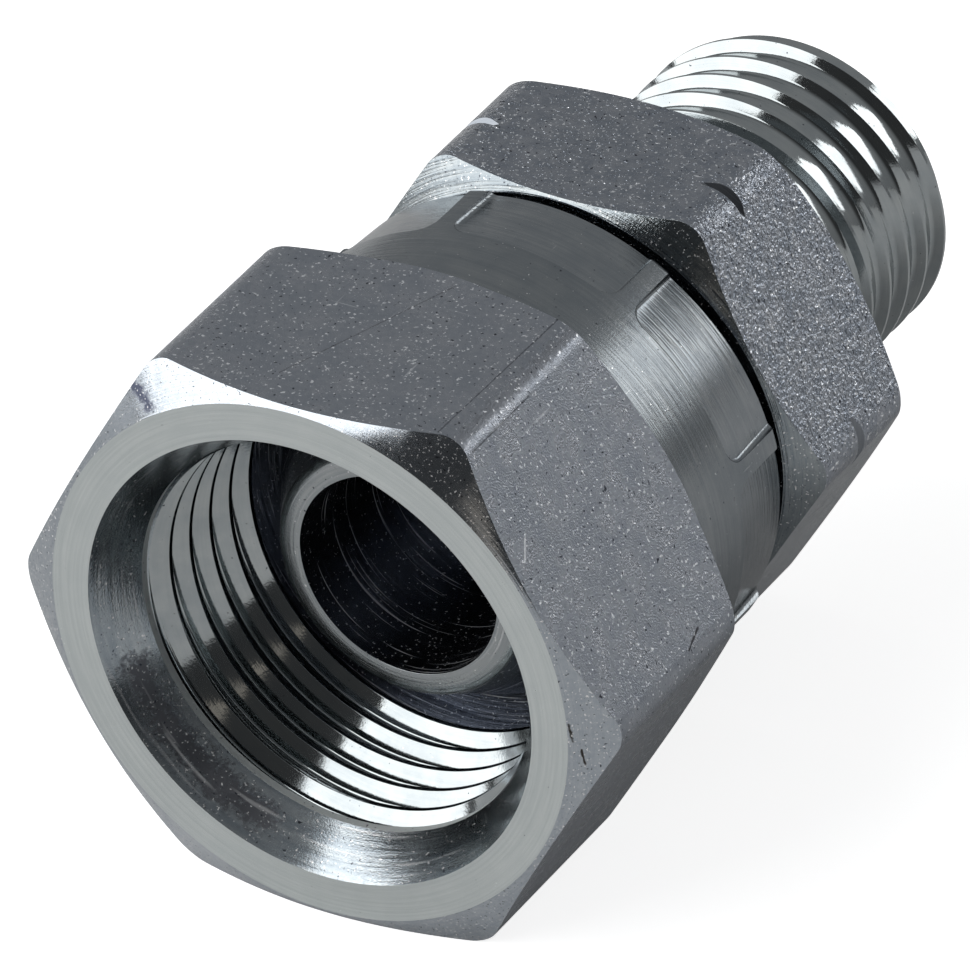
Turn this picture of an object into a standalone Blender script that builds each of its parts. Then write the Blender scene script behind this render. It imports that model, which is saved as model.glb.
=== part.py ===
"""Hose connector: an adaptor body with a male pipe thread, and a swivel nut held on it.

The fitting lies on one flat of the nut. Its axis runs along +Y, from the nut's open mouth to the
end of the male thread, and +Z is up. The nut's skirt is pressed in behind the body's collar by
the jaws of a crimping tool, so the nut turns on the body and can't come off it.

Shapes are modelled along the local +Z of one empty that lies on the fitting's axis. A station is
a height on that axis, counted from the nut's mouth. Every outline is a list of
(radius, station) points.
"""
import math

import bmesh
import bpy
from mathutils import Matrix, Vector

MM = 0.001

# Swivel nut, with an internal 3/8 inch straight pipe thread.
NUT_ACROSS_FLATS = 22.0 * MM
NUT_CORNER_RADIUS = 1.3 * MM
NUT_LENGTH = 17.5 * MM
NUT_HEX_LENGTH = 9.9 * MM
# The front chamfer starts this far inside the flats, and the back one this far outside them.
NUT_FACE_INSET = 0.2 * MM
NUT_BACK_OUTSET = 0.3 * MM
MOUTH_RADIUS = 9.3 * MM
MOUTH_HALF_ANGLE = math.radians(30.0)
FEMALE_MINOR_RADIUS = 7.9 * MM
FEMALE_THREAD_END = 9.3 * MM
RELIEF_DEPTH = 0.7 * MM
RELIEF_LENGTH = 1.5 * MM
SKIRT_RADIUS = 10.05 * MM
SKIRT_EDGE_RADIUS = 0.35 * MM
SKIRT_SHOULDER_LENGTH = 1.1 * MM
LIP_CHAMFER = 0.4 * MM

# Crimp: each jaw presses a shallow field into the skirt and leaves a ridge beside it.
CRIMP_JAWS = 8
CRIMP_LENGTH = 3.3 * MM
CRIMP_DEPTH = 0.2 * MM
CRIMP_RIDGE_WIDTH = 0.78 * MM
CRIMP_CORNER_RADIUS = 0.8 * MM
CRIMP_FIRST_RIDGE = math.radians(-13.5)

# Adaptor body, with a male 1/4 inch straight pipe thread.
BODY_ACROSS_FLATS = 19.0 * MM
BODY_CORNER_RADIUS = 1.4 * MM
BODY_HEX_LENGTH = 7.3 * MM
BODY_FACE_INSET = 0.15 * MM
BODY_TURN = math.radians(1.2)
MALE_MAJOR_RADIUS = 6.58 * MM
MALE_LENGTH = 11.3 * MM
MALE_END_CHAMFER = 0.9 * MM
UNDERCUT_DEPTH = 1.0 * MM
UNDERCUT_LENGTH = 1.6 * MM
# The fillet between the undercut and the hexagon ends on the shoulder this far outside the thread,
# so that a sealing washer passes over the thread and lies flat.
FILLET_MARGIN = 0.2 * MM

# Both threads: right hand, 18 turns to the inch, with thin crests and wide flat roots. A start is
# the station of the groove's middle at angle zero.
THREAD_PITCH = 25.4 / 18 * MM
THREAD_DEPTH = 0.45 * MM
THREAD_CREST_WIDTH = 0.13 * MM
THREAD_FLANK_ANGLE = math.radians(30.0)
FEMALE_THREAD_START = 0.67 * MM
MALE_THREAD_START = 26.75 * MM

# Groove turned into the corners of the body's hexagon, at its middle.
GROOVE_DEPTH = 0.25 * MM
GROOVE_FLOOR_LENGTH = 0.55 * MM

# Nose that seals in the mating fitting, and the collar and neck behind it.
NOSE_STATION = 6.4 * MM
NOSE_TIP_RADIUS = 5.0 * MM
NOSE_HALF_ANGLE = math.radians(30.0)
NOSE_EDGE_RADIUS = 0.25 * MM
NECK_RADIUS = 6.2 * MM
COLLAR_STEP = 1.1 * MM
COLLAR_LENGTH = 2.8 * MM

# Bore through the body: wide from the nose, narrow through the male thread.
BORE_RADIUS = 4.15 * MM
BORE_DEPTH = 17.0 * MM
BORE_TIP_HALF_ANGLE = math.radians(59.0)
SMALL_BORE_RADIUS = 3.0 * MM
SMALL_BORE_CHAMFER = 0.5 * MM

# Clearances between the two pieces.
RADIAL_CLEARANCE = 0.25 * MM
AXIAL_CLEARANCE = 0.3 * MM
SWIVEL_GAP = 0.9 * MM

# Both hexagons are chamfered at this angle.
CHAMFER_ANGLE = math.radians(30.0)

# How far a cutter runs past the face that it cuts through.
OVERSHOOT = 1.0 * MM
THREAD_OVERSHOOT = 0.08 * MM
# Steps round a full turn, round one turn of a thread, and along a rounded edge or hexagon corner.
TURN_STEPS = 56
THREAD_STEPS = TURN_STEPS // 2
EDGE_STEPS = 4
MERGE_DISTANCE = 0.00001

# Stations and radii that follow from the sizes above.
NUT_FACE_RADIUS = NUT_ACROSS_FLATS / 2 - NUT_FACE_INSET
NUT_BACK_RADIUS = NUT_ACROSS_FLATS / 2 + NUT_BACK_OUTSET
RELIEF_RADIUS = FEMALE_MINOR_RADIUS + RELIEF_DEPTH
BODY_FACE_RADIUS = BODY_ACROSS_FLATS / 2 - BODY_FACE_INSET
HEX_FRONT = NUT_LENGTH + SWIVEL_GAP
HEX_BACK = HEX_FRONT + BODY_HEX_LENGTH
TOTAL_LENGTH = HEX_BACK + MALE_LENGTH
COLLAR_RADIUS = NECK_RADIUS + COLLAR_STEP
COLLAR_FRONT = NOSE_STATION + (COLLAR_RADIUS - NOSE_TIP_RADIUS) / math.tan(NOSE_HALF_ANGLE)
COLLAR_BACK = COLLAR_FRONT + COLLAR_LENGTH
COLLAR_BORE_RADIUS = COLLAR_RADIUS + RADIAL_CLEARANCE
LIP_RADIUS = NECK_RADIUS + RADIAL_CLEARANCE
LIP_FRONT = COLLAR_BACK + AXIAL_CLEARANCE
MOUTH_DEPTH = (MOUTH_RADIUS - FEMALE_MINOR_RADIUS) / math.tan(MOUTH_HALF_ANGLE)
UNDERCUT_RADIUS = MALE_MAJOR_RADIUS - UNDERCUT_DEPTH
SHOULDER_FILLET = min(UNDERCUT_DEPTH + FILLET_MARGIN, UNDERCUT_LENGTH)


def clear_scene():
    for existing in list(bpy.data.objects):
        bpy.data.objects.remove(existing, do_unlink=True)


def new_collection(name):
    collection = bpy.data.collections.new(name)
    bpy.context.scene.collection.children.link(collection)
    return collection


def add_object(name, mesh, collection, axis):
    """Links a mesh as an object whose local +Z is the fitting's axis."""
    thing = bpy.data.objects.new(name, mesh)
    collection.objects.link(thing)
    thing.parent = axis
    return thing


def as_cutter(thing):
    thing.hide_render = True
    thing.display_type = "WIRE"
    return thing


def plated_steel(name, color, roughness):
    material = bpy.data.materials.new(name)
    material.use_nodes = True
    shader = material.node_tree.nodes["Principled BSDF"]
    shader.inputs["Base Color"].default_value = (*color, 1.0)
    shader.inputs["Metallic"].default_value = 1.0
    shader.inputs["Roughness"].default_value = roughness
    return material


def arc(center, radius, start, end):
    """Points of an arc in an outline, with angles in degrees from the radius direction."""
    points = []
    for step in range(EDGE_STEPS + 1):
        angle = math.radians(start + (end - start) * step / EDGE_STEPS)
        points.append((center[0] + radius * math.cos(angle), center[1] + radius * math.sin(angle)))
    return points


def turned(name, outline, collection, axis, ring=False):
    """A solid of revolution. Its outer side runs from top to bottom.

    The outline starts and ends on the axis, or closes on itself for a ring.
    """
    mesh = bpy.data.meshes.new(name)
    points = [(radius, 0.0, station) for radius, station in outline]
    links = [(index, index + 1) for index in range(len(points) - 1)]
    if ring:
        links.append((len(points) - 1, 0))
    mesh.from_pydata(points, links, [])
    thing = add_object(name, mesh, collection, axis)
    screw = thing.modifiers.new("Turn", "SCREW")
    screw.axis = "Z"
    screw.steps = TURN_STEPS
    screw.render_steps = TURN_STEPS
    screw.use_merge_vertices = True
    screw.merge_threshold = MERGE_DISTANCE
    return thing


def hexagon_bar(name, across_flats, corner_radius, bottom, top, turn, collection, axis):
    """A bar with six rounded corners, with one pair of flats across the local Y axis."""
    mesh = bpy.data.meshes.new(name)
    bar = bmesh.new()
    circumradius = across_flats / math.sqrt(3.0)
    middle = Matrix.Translation((0.0, 0.0, (bottom + top) / 2))
    place = middle @ Matrix.Rotation(turn + math.radians(30.0), 4, "Z")
    bmesh.ops.create_cone(bar, cap_ends=True, segments=6, radius1=circumradius, radius2=circumradius,
                          depth=top - bottom, matrix=place)
    corners = [edge for edge in bar.edges if abs(edge.verts[0].co.z - edge.verts[1].co.z) > MERGE_DISTANCE]
    # A corner of 120 degrees that is rounded to a radius loses this length of each flat.
    setback = corner_radius * math.tan(math.radians(30.0))
    bmesh.ops.bevel(bar, geom=corners, offset=setback, offset_type="OFFSET", segments=EDGE_STEPS,
                    profile=0.5, affect="EDGES")
    bar.to_mesh(mesh)
    bar.free()
    return add_object(name, mesh, collection, axis)


def combine(thing, other, operation):
    step = thing.modifiers.new(operation.title() + " " + other.name, "BOOLEAN")
    step.operation = operation
    step.solver = "EXACT"
    step.object = other


def chamfer_drop(radius, start_radius):
    """How far a hexagon chamfer has come along the axis at a radius."""
    return (radius - start_radius) * math.tan(CHAMFER_ANGLE)


def nut_envelope(collection, axis):
    """The turned outside of the nut: both chamfers of its hexagon, and its skirt."""
    reach = NUT_ACROSS_FLATS / math.sqrt(3.0) + OVERSHOOT
    edge = SKIRT_EDGE_RADIUS
    outline = [(0.0, NUT_LENGTH)]
    outline += reversed(arc((SKIRT_RADIUS - edge, NUT_LENGTH - edge), edge, 0.0, 90.0))
    outline += [
        (SKIRT_RADIUS, NUT_HEX_LENGTH + SKIRT_SHOULDER_LENGTH),
        (NUT_BACK_RADIUS, NUT_HEX_LENGTH),
        (reach, NUT_HEX_LENGTH - chamfer_drop(reach, NUT_BACK_RADIUS)),
        (reach, chamfer_drop(reach, NUT_FACE_RADIUS)),
        (NUT_FACE_RADIUS, 0.0),
        (0.0, 0.0),
    ]
    return as_cutter(turned("nut_envelope", outline, collection, axis))


def nut_bore(collection, axis):
    """Everything cut out of the nut, from its mouth to the lip that closes behind the collar."""
    mouth_flare = OVERSHOOT * math.tan(MOUTH_HALF_ANGLE)
    relief_end = FEMALE_THREAD_END + RELIEF_LENGTH
    outline = [
        (0.0, NUT_LENGTH + OVERSHOOT),
        (LIP_RADIUS + LIP_CHAMFER + OVERSHOOT, NUT_LENGTH + OVERSHOOT),
        (LIP_RADIUS, NUT_LENGTH - LIP_CHAMFER),
        (LIP_RADIUS, LIP_FRONT + COLLAR_BORE_RADIUS - LIP_RADIUS),
        (COLLAR_BORE_RADIUS, LIP_FRONT),
        (COLLAR_BORE_RADIUS, relief_end),
        (RELIEF_RADIUS, relief_end),
        (RELIEF_RADIUS, FEMALE_THREAD_END),
        (FEMALE_MINOR_RADIUS, FEMALE_THREAD_END),
        (FEMALE_MINOR_RADIUS, MOUTH_DEPTH),
        (MOUTH_RADIUS + mouth_flare, -OVERSHOOT),
        (0.0, -OVERSHOOT),
    ]
    return as_cutter(turned("nut_bore", outline, collection, axis))


def thread_cutter(name, crest_radius, depth, start, end, collection, axis):
    """The helical groove of a right hand thread, from its start to a station past its end.

    The depth is positive where the groove goes outward into the nut, and negative on the male end.
    """
    side = math.copysign(1.0, depth)
    slope = math.tan(THREAD_FLANK_ANGLE)
    half_mouth = (THREAD_PITCH - THREAD_CREST_WIDTH) / 2
    near = crest_radius - side * THREAD_OVERSHOOT
    near_half = half_mouth + THREAD_OVERSHOOT * slope
    far = crest_radius + depth
    far_half = half_mouth - abs(depth) * slope
    steps = math.ceil(THREAD_STEPS * (end - start) / THREAD_PITCH)
    groove = bmesh.new()
    section = [groove.verts.new(point) for point in
               ((near, 0, start - near_half), (far, 0, start - far_half),
                (far, 0, start + far_half), (near, 0, start + near_half))]
    first = groove.faces.new(section)
    bmesh.ops.spin(groove, geom=[first] + first.edges[:] + first.verts[:], cent=(0, 0, 0), axis=(0, 0, 1),
                   dvec=(0, 0, THREAD_PITCH / THREAD_STEPS), angle=math.tau * steps / THREAD_STEPS,
                   steps=steps, use_duplicate=False)
    bmesh.ops.recalc_face_normals(groove, faces=groove.faces[:])
    mesh = bpy.data.meshes.new(name)
    groove.to_mesh(mesh)
    groove.free()
    return as_cutter(add_object(name, mesh, collection, axis))


def crimp_field(number, collection, axis):
    """The space that one jaw takes out of the skirt: a short arc of a ring, with rounded corners."""
    pitch = math.tau / CRIMP_JAWS
    ridge = CRIMP_RIDGE_WIDTH / SKIRT_RADIUS
    field = pitch - ridge
    inner = SKIRT_RADIUS - CRIMP_DEPTH
    outer = SKIRT_RADIUS + OVERSHOOT
    low = NUT_LENGTH - CRIMP_LENGTH
    high = NUT_LENGTH + OVERSHOOT
    steps = max(3, round(TURN_STEPS * field / math.tau))
    jaw = bmesh.new()
    section = [jaw.verts.new(point) for point in
               ((inner, 0, low), (outer, 0, low), (outer, 0, high), (inner, 0, high))]
    start = jaw.faces.new(section)
    bmesh.ops.spin(jaw, geom=[start] + start.edges[:] + start.verts[:], cent=(0, 0, 0), axis=(0, 0, 1),
                   angle=field, steps=steps, use_duplicate=False)
    bmesh.ops.recalc_face_normals(jaw, faces=jaw.faces[:])
    ends = (0.0, field)
    corners = []
    for edge in jaw.edges:
        first, second = edge.verts
        if max(first.co.z, second.co.z) > low + MERGE_DISTANCE:
            continue
        if first.co.xy.length - inner < MERGE_DISTANCE and second.co.xy.length - inner < MERGE_DISTANCE:
            continue
        angle = math.atan2(first.co.y, first.co.x)
        radial = abs(math.atan2(second.co.y, second.co.x) - angle) < ridge / 100
        if radial and min(abs(angle - end) for end in ends) < ridge / 100:
            corners.append(edge)
    bmesh.ops.bevel(jaw, geom=corners, offset=CRIMP_CORNER_RADIUS, offset_type="OFFSET",
                    segments=EDGE_STEPS, profile=0.5, affect="EDGES")
    turn = CRIMP_FIRST_RIDGE + ridge / 2 + number * pitch
    bmesh.ops.rotate(jaw, verts=jaw.verts[:], cent=(0, 0, 0), matrix=Matrix.Rotation(turn, 3, "Z"))
    mesh = bpy.data.meshes.new("crimp_field")
    jaw.to_mesh(mesh)
    jaw.free()
    return as_cutter(add_object(f"crimp_field_{number + 1}", mesh, collection, axis))


def swivel_nut(parts, cutters, axis):
    nut = hexagon_bar("swivel_nut", NUT_ACROSS_FLATS, NUT_CORNER_RADIUS, -OVERSHOOT, NUT_LENGTH + OVERSHOOT,
                      0.0, parts, axis)
    combine(nut, nut_envelope(cutters, axis), "INTERSECT")
    for number in range(CRIMP_JAWS):
        combine(nut, crimp_field(number, cutters, axis), "DIFFERENCE")
    combine(nut, nut_bore(cutters, axis), "DIFFERENCE")
    thread = thread_cutter("nut_thread", FEMALE_MINOR_RADIUS, THREAD_DEPTH, FEMALE_THREAD_START,
                           FEMALE_THREAD_END + THREAD_PITCH / 2, cutters, axis)
    combine(nut, thread, "DIFFERENCE")
    nut.data.materials.append(plated_steel("zinc_plated_nut", (0.60, 0.62, 0.63), 0.38))
    return nut


def corner_groove(collection, axis):
    """The ring that is turned out of the hexagon's corners: a square wall, a floor and a 45 degree wall."""
    corner = BODY_ACROSS_FLATS / math.sqrt(3.0)
    reach = corner + OVERSHOOT
    rounded_corner = corner - BODY_CORNER_RADIUS * (1.0 / math.cos(math.radians(30.0)) - 1.0)
    floor = rounded_corner - GROOVE_DEPTH
    groove_front = (HEX_FRONT + HEX_BACK - GROOVE_FLOOR_LENGTH - GROOVE_DEPTH) / 2
    groove_floor_end = groove_front + GROOVE_FLOOR_LENGTH
    outline = [
        (reach, groove_floor_end + reach - floor),
        (reach, groove_front),
        (floor, groove_front),
        (floor, groove_floor_end),
    ]
    return as_cutter(turned("corner_groove", outline, collection, axis, ring=True))


def body_envelope(collection, axis):
    """The turned outside of the body's hexagon, with both chamfers."""
    reach = BODY_ACROSS_FLATS / math.sqrt(3.0) + OVERSHOOT
    outline = [
        (0.0, HEX_BACK),
        (BODY_FACE_RADIUS, HEX_BACK),
        (reach, HEX_BACK - chamfer_drop(reach, BODY_FACE_RADIUS)),
        (reach, HEX_FRONT + chamfer_drop(reach, BODY_FACE_RADIUS)),
        (BODY_FACE_RADIUS, HEX_FRONT),
        (0.0, HEX_FRONT),
    ]
    return as_cutter(turned("body_envelope", outline, collection, axis))


def body_stem(collection, axis):
    """The turned stem: male thread, undercut, neck, collar and sealing nose."""
    edge = NOSE_EDGE_RADIUS
    middle = (HEX_FRONT + HEX_BACK) / 2
    outline = [
        (0.0, TOTAL_LENGTH),
        (MALE_MAJOR_RADIUS - MALE_END_CHAMFER, TOTAL_LENGTH),
        (MALE_MAJOR_RADIUS, TOTAL_LENGTH - MALE_END_CHAMFER),
        (MALE_MAJOR_RADIUS, HEX_BACK + UNDERCUT_LENGTH + UNDERCUT_DEPTH),
        (UNDERCUT_RADIUS, HEX_BACK + UNDERCUT_LENGTH),
    ]
    fillet_center = (UNDERCUT_RADIUS + SHOULDER_FILLET, HEX_BACK + SHOULDER_FILLET)
    outline += arc(fillet_center, SHOULDER_FILLET, 180.0, 270.0)
    outline += [
        (UNDERCUT_RADIUS + SHOULDER_FILLET, middle),
        (NECK_RADIUS, middle),
        (NECK_RADIUS, COLLAR_BACK + COLLAR_STEP),
        (COLLAR_RADIUS, COLLAR_BACK),
        (COLLAR_RADIUS, COLLAR_FRONT),
    ]
    # The cone meets the tip in a small round edge that is tangent to both.
    turn = math.degrees(NOSE_HALF_ANGLE)
    tip_center = (NOSE_TIP_RADIUS - edge * math.tan(math.radians(45.0 - turn / 2)), NOSE_STATION + edge)
    outline += arc(tip_center, edge, -turn, -90.0)
    outline += [(0.0, NOSE_STATION)]
    return as_cutter(turned("body_stem", outline, collection, axis))


def body_bore(collection, axis):
    """The bore: a drilled hole from the nose, and a narrower one from the male end."""
    drill_end = NOSE_STATION + BORE_DEPTH
    drill_tip = (BORE_RADIUS - SMALL_BORE_RADIUS) / math.tan(BORE_TIP_HALF_ANGLE)
    outline = [
        (0.0, TOTAL_LENGTH + OVERSHOOT),
        (SMALL_BORE_RADIUS + SMALL_BORE_CHAMFER + OVERSHOOT, TOTAL_LENGTH + OVERSHOOT),
        (SMALL_BORE_RADIUS, TOTAL_LENGTH - SMALL_BORE_CHAMFER),
        (SMALL_BORE_RADIUS, drill_end + drill_tip),
        (BORE_RADIUS, drill_end),
        (BORE_RADIUS, NOSE_STATION - OVERSHOOT),
        (0.0, NOSE_STATION - OVERSHOOT),
    ]
    return as_cutter(turned("body_bore", outline, collection, axis))


def adapter_body(parts, cutters, axis):
    body = hexagon_bar("adapter_body", BODY_ACROSS_FLATS, BODY_CORNER_RADIUS, HEX_FRONT - OVERSHOOT,
                       HEX_BACK + OVERSHOOT, BODY_TURN, parts, axis)
    combine(body, body_envelope(cutters, axis), "INTERSECT")
    combine(body, corner_groove(cutters, axis), "DIFFERENCE")
    combine(body, body_stem(cutters, axis), "UNION")
    combine(body, body_bore(cutters, axis), "DIFFERENCE")
    thread = thread_cutter("male_thread", MALE_MAJOR_RADIUS, -THREAD_DEPTH, MALE_THREAD_START,
                           TOTAL_LENGTH + THREAD_PITCH, cutters, axis)
    combine(body, thread, "DIFFERENCE")
    body.data.materials.append(plated_steel("zinc_plated_body", (0.58, 0.60, 0.62), 0.36))
    return body


def shade_round(thing):
    """Shades turned faces smooth and keeps the edges of the flats sharp."""
    thing.data.shade_smooth()
    thing.data.set_sharp_from_angle(angle=math.radians(20.0))


def main():
    clear_scene()
    parts = new_collection("hose_connector")
    cutters = new_collection("cutters")
    axis = bpy.data.objects.new("fitting_axis", None)
    axis.location = Vector((0.0, -TOTAL_LENGTH / 2, NUT_ACROSS_FLATS / 2))
    axis.rotation_euler = (math.radians(-90.0), 0.0, 0.0)
    parts.objects.link(axis)
    for piece in (swivel_nut(parts, cutters, axis), adapter_body(parts, cutters, axis)):
        shade_round(piece)


main()
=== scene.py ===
import math

import bmesh
import bpy
from mathutils import Matrix, Vector


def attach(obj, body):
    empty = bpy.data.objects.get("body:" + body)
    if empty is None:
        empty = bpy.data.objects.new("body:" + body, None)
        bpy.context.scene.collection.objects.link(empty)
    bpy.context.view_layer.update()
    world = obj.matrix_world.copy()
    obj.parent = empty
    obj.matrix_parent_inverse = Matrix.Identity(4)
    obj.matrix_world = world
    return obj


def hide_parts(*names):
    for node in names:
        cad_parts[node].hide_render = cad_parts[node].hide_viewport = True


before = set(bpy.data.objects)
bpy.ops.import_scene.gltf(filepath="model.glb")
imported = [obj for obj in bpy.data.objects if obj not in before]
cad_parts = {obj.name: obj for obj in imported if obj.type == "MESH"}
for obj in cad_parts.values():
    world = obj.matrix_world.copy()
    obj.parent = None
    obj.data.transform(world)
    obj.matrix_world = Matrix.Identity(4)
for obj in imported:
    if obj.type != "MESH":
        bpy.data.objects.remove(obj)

bpy.ops.object.select_all(action="DESELECT")
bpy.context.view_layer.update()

MM = 0.001
MICRON = 0.000001
DEGREE = math.radians(1.0)

# Where the axis lies: the nut rests on one flat, and its mouth looks along -Y.
AXIS_HEIGHT = 11.0 * MM
MOUTH_PLACE = -18.5 * MM

# Swivel nut.
NUT_FLATS = 22.0 * MM
NUT_CORNER = 1.3 * MM
NUT_LENGTH = 17.5 * MM
NUT_HEX_END = 9.9 * MM
NUT_FACE = 10.8 * MM
NUT_BACK = 11.3 * MM
MOUTH = 9.3 * MM
MOUTH_SLOPE = 30.0 * DEGREE
# The narrow land between the mouth's cone and the first turn of the thread.
LAND = 8.18 * MM
LAND_END = 2.28 * MM
NUT_MINOR = 7.9 * MM
NUT_THREAD_END = 9.3 * MM
RELIEF = 8.6 * MM
RELIEF_END = 10.8 * MM
COLLAR_BORE = 7.55 * MM
LIP_FRONT = 13.48 * MM
LIP = 6.45 * MM
LIP_CHAMFER = 0.4 * MM
SKIRT = 10.05 * MM
SKIRT_START = 11.0 * MM
SKIRT_EDGE = 0.35 * MM

# Crimp: eight jaws, each with a pressed field that slopes in to the back, and a ridge between every two.
JAWS = 8
CRIMP_START = 14.2 * MM
CRIMP_DEPTH = 0.12 * MM
CRIMP_SLOPE = 3.5 * DEGREE
RIDGE_WIDTH = 0.78 * MM
FIELD_CORNER = 0.8 * MM
FIELD_FILLET = 0.22 * MM
WRAP_STEPS = 45
FIRST_RIDGE = -13.5 * DEGREE

# Adaptor body.
BODY_FLATS = 19.0 * MM
BODY_CORNER = 1.4 * MM
BODY_TURN = 1.2 * DEGREE
HEX_FRONT = 18.4 * MM
HEX_BACK = 25.7 * MM
BODY_FACE = 9.35 * MM
GROOVE_FRONT = 21.65 * MM
GROOVE_FLOOR_END = 21.8 * MM
GROOVE_DEPTH = 0.32 * MM
MALE_MAJOR = 6.58 * MM
MALE_END = 37.0 * MM
MALE_CHAMFER = 0.9 * MM
UNDERCUT = 5.58 * MM
UNDERCUT_END = 27.3 * MM
FILLET = 1.2 * MM
NECK = 6.2 * MM
COLLAR = 7.3 * MM
COLLAR_FRONT = 10.384 * MM
COLLAR_BACK = 13.184 * MM
NOSE = 6.4 * MM
NOSE_TIP = 5.0 * MM
NOSE_EDGE = 0.42 * MM
NOSE_SLOPE = 30.0 * DEGREE
BORE = 4.15 * MM
BORE_END = 23.4 * MM
DRILL_HALF_ANGLE = 59.0 * DEGREE
SMALL_BORE = 3.0 * MM
SMALL_CHAMFER = 0.5 * MM

# Both threads: right hand, 18 turns to the inch, with narrow crests and rounded roots. The nut's is a deep
# V, and the male one has a wide root, as their bands of light in the photograph show.
PITCH = 25.4 / 18 * MM
CREST_ROUND = 0.035 * MM
FLANK = 30.0 * DEGREE
NUT_THREAD_DEPTH = 0.68 * MM
NUT_ROOT_ROUND = 0.16 * MM
NUT_CREST = 0.22 * MM
NUT_THREAD_START = 0.67 * MM
NUT_TURNS = 6.64
MALE_THREAD_DEPTH = 0.42 * MM
MALE_CREST = 0.13 * MM
MALE_ROOT_ROUND = 0.25 * MM
MALE_THREAD_START = 26.75 * MM
MALE_TURNS = 8.0
# The male groove's section starts a little outside the crest, so that it crosses the bar at an angle, and
# it is turned a little, so that no corner of the groove meets a corner of the bar.
CREST_LIFT = 0.012 * MM
CUTTER_TURN = 0.7 * DEGREE
CUTTER_PROUD = 0.1 * MM
ROOT_STEPS = 4
CREST_STEPS = 3

# Both hexagons, and how each piece is divided and finished. Cutters reach BEYOND the solid, points within
# WELD are one, and a face NEAR a station counts as at it.
HALF_SIDE = 30.0 * DEGREE
CHAMFER = 30.0 * DEGREE
BEYOND = 1.0 * MM
TURN_STEPS = 180
THREAD_STEPS = 144
CORNER_STEPS = 8
FILLET_STEPS = 4
EDGE_STEPS = 3
EDGE_ROUND = 0.09 * MM
EDGE_ANGLE = 24.0 * DEGREE
SMOOTH_ANGLE = 35.0 * DEGREE
WELD = 0.002 * MM
NEAR = 0.1 * MM

# What tells one kind of surface from the next: a radius between inside and outside, one below all flats,
# and how far a face's normal leans along the axis.
INSIDE = 9.4 * MM
BELOW_FLATS = 10.2 * MM
NUT_CHAMFER_END = 2.4 * MM
SIDE_LEAN = 0.25
FACE_LEAN = 0.9


def pick(thing):
    """Makes one object the only one that is selected, and the active one."""
    bpy.ops.object.select_all(action="DESELECT")
    thing.select_set(True)
    bpy.context.view_layer.objects.active = thing


def start_edit(thing, select="SELECT"):
    pick(thing)
    bpy.ops.object.mode_set(mode="EDIT")
    bpy.ops.mesh.select_all(action=select)


def end_edit():
    bpy.ops.object.mode_set(mode="OBJECT")


def end_solid():
    """Turns all the faces of a closed mesh to the outside, and leaves edit mode."""
    bpy.ops.mesh.select_all(action="SELECT")
    bpy.ops.mesh.normals_make_consistent(inside=False)
    end_edit()


def select_edges(thing, wanted):
    """Selects the edges for which wanted is true of the places of their two ends."""
    bpy.ops.mesh.select_all(action="DESELECT")
    mesh = bmesh.from_edit_mesh(thing.data)
    for edge in mesh.edges:
        first, second = (vertex.co for vertex in edge.verts)
        edge.select_set(wanted(first, second))
    bmesh.update_edit_mesh(thing.data)


def arc(center, radius, start, end, steps):
    """Outline points round a centre, with angles in degrees from the radius direction."""
    points = []
    for step in range(steps + 1):
        angle = (start + (end - start) * step / steps) * DEGREE
        points.append((center[0] + radius * math.cos(angle), center[1] + radius * math.sin(angle)))
    return points


def draw_outline(name, outline):
    """One vertex, extruded from point to point: the outline that is then turned."""
    bpy.ops.mesh.primitive_plane_add(size=MM)
    thing = bpy.context.object
    thing.name = name
    start_edit(thing)
    bpy.ops.mesh.merge(type="CENTER")
    bpy.ops.transform.translate(value=(outline[0][0], 0.0, outline[0][1]))
    for (radius, station), (next_radius, next_station) in zip(outline, outline[1:]):
        step = (next_radius - radius, 0.0, next_station - station)
        bpy.ops.mesh.extrude_region_move(TRANSFORM_OT_translate={"value": step})
    return thing


def turned(name, outline):
    """A solid turned about Z from (radius, station) points that start and end on the axis."""
    thing = draw_outline(name, outline)
    bpy.ops.mesh.select_all(action="SELECT")
    bpy.ops.mesh.spin(steps=TURN_STEPS, angle=math.tau, center=(0, 0, 0), axis=(0, 0, 1))
    bpy.ops.mesh.select_all(action="SELECT")
    bpy.ops.mesh.remove_doubles(threshold=WELD)
    end_solid()
    return thing


def apply_modifier(thing, modifier):
    pick(thing)
    bpy.ops.object.modifier_apply(modifier=modifier.name)


def cut(thing, cutter, operation="DIFFERENCE"):
    """Applies a Boolean and removes the cutter."""
    step = thing.modifiers.new(operation, "BOOLEAN")
    step.operation = operation
    step.solver = "EXACT"
    step.object = cutter
    apply_modifier(thing, step)
    pick(cutter)
    bpy.ops.object.delete()


def hexagon_bar(name, flats, corner, bottom, top, turn):
    """Hexagon bar with rounded corners, with two of its flats across Y."""
    bpy.ops.mesh.primitive_cylinder_add(vertices=6, radius=flats / math.sqrt(3.0), depth=top - bottom,
                                        location=(0, 0, (bottom + top) / 2),
                                        rotation=(0, 0, turn + HALF_SIDE))
    bar = bpy.context.object
    bar.name = name
    bpy.ops.object.transform_apply(location=True, rotation=True, scale=True)
    start_edit(bar, "DESELECT")
    bpy.ops.mesh.select_mode(type="EDGE")
    select_edges(bar, lambda first, second: abs(first.z - second.z) > WELD)
    bpy.ops.mesh.bevel(offset=corner * math.tan(HALF_SIDE), offset_type="OFFSET",
                       segments=CORNER_STEPS, profile=0.5, affect="EDGES")
    bpy.ops.mesh.select_mode(type="VERT")
    end_edit()
    return bar


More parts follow.
